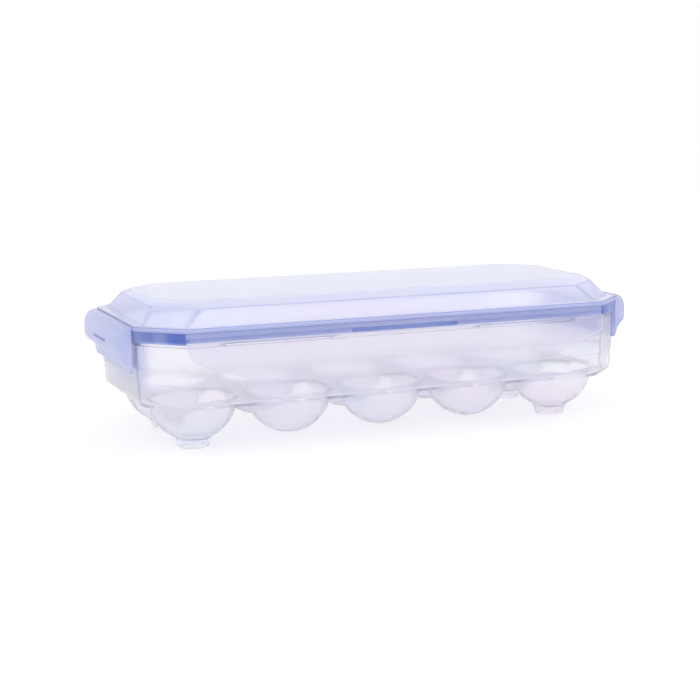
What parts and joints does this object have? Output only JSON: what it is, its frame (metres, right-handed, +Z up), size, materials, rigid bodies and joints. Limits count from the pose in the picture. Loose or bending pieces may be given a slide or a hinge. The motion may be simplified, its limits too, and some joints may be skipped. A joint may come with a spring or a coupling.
{
  "type": "egg keeper",
  "caption": "Long low box with hemispherical egg cups, a faceted lid on a living hinge, flip-lock flaps and a soft seal.",
  "frame": {"origin": "on the surface it stands on, under the middle of the box", "axes": "+X along the length, to the right seen from the front; -Y towards the front; +Z up"},
  "size_m": [0.28, 0.13, 0.075],
  "materials": {
    "frosted_polypropylene": "frosted, translucent",
    "clear_polypropylene": "semi-clear",
    "flap_polypropylene": "frosted, translucent",
    "hinge_film": "thin flexed film",
    "blue_silicone": "soft, satin"
  },
  "bodies": {
    "base": {"base": "frosted_polypropylene", "rear_flap": "flap_polypropylene"},
    "lid": {"lid": "clear_polypropylene", "gasket": "blue_silicone", "front_hinge": "hinge_film", "rear_hinge": "hinge_film", "left_hinge": "hinge_film", "right_hinge": "hinge_film"},
    "front_flap": {"front_flap": "flap_polypropylene"},
    "left_flap": {"left_flap": "flap_polypropylene"},
    "right_flap": {"right_flap": "flap_polypropylene"}
  },
  "joints": [
    {"name": "lid_hinge", "type": "hinge", "parent": "base", "child": "lid", "pos_m": [0, 0.0627, 0.0585], "axis": [-1, 0, 0], "range_deg": [0, 150]},
    {"name": "front_flap_hinge", "type": "hinge", "parent": "lid", "child": "front_flap", "pos_m": [0, -0.0627, 0.0585], "axis": [-1, 0, 0], "range_deg": [0, 135]},
    {"name": "left_flap_hinge", "type": "hinge", "parent": "lid", "child": "left_flap", "pos_m": [-0.1335, 0, 0.0635], "axis": [0, 1, 0], "range_deg": [0, 110]},
    {"name": "right_flap_hinge", "type": "hinge", "parent": "lid", "child": "right_flap", "pos_m": [0.1335, 0, 0.0635], "axis": [0, -1, 0], "range_deg": [0, 110]}
  ]
}
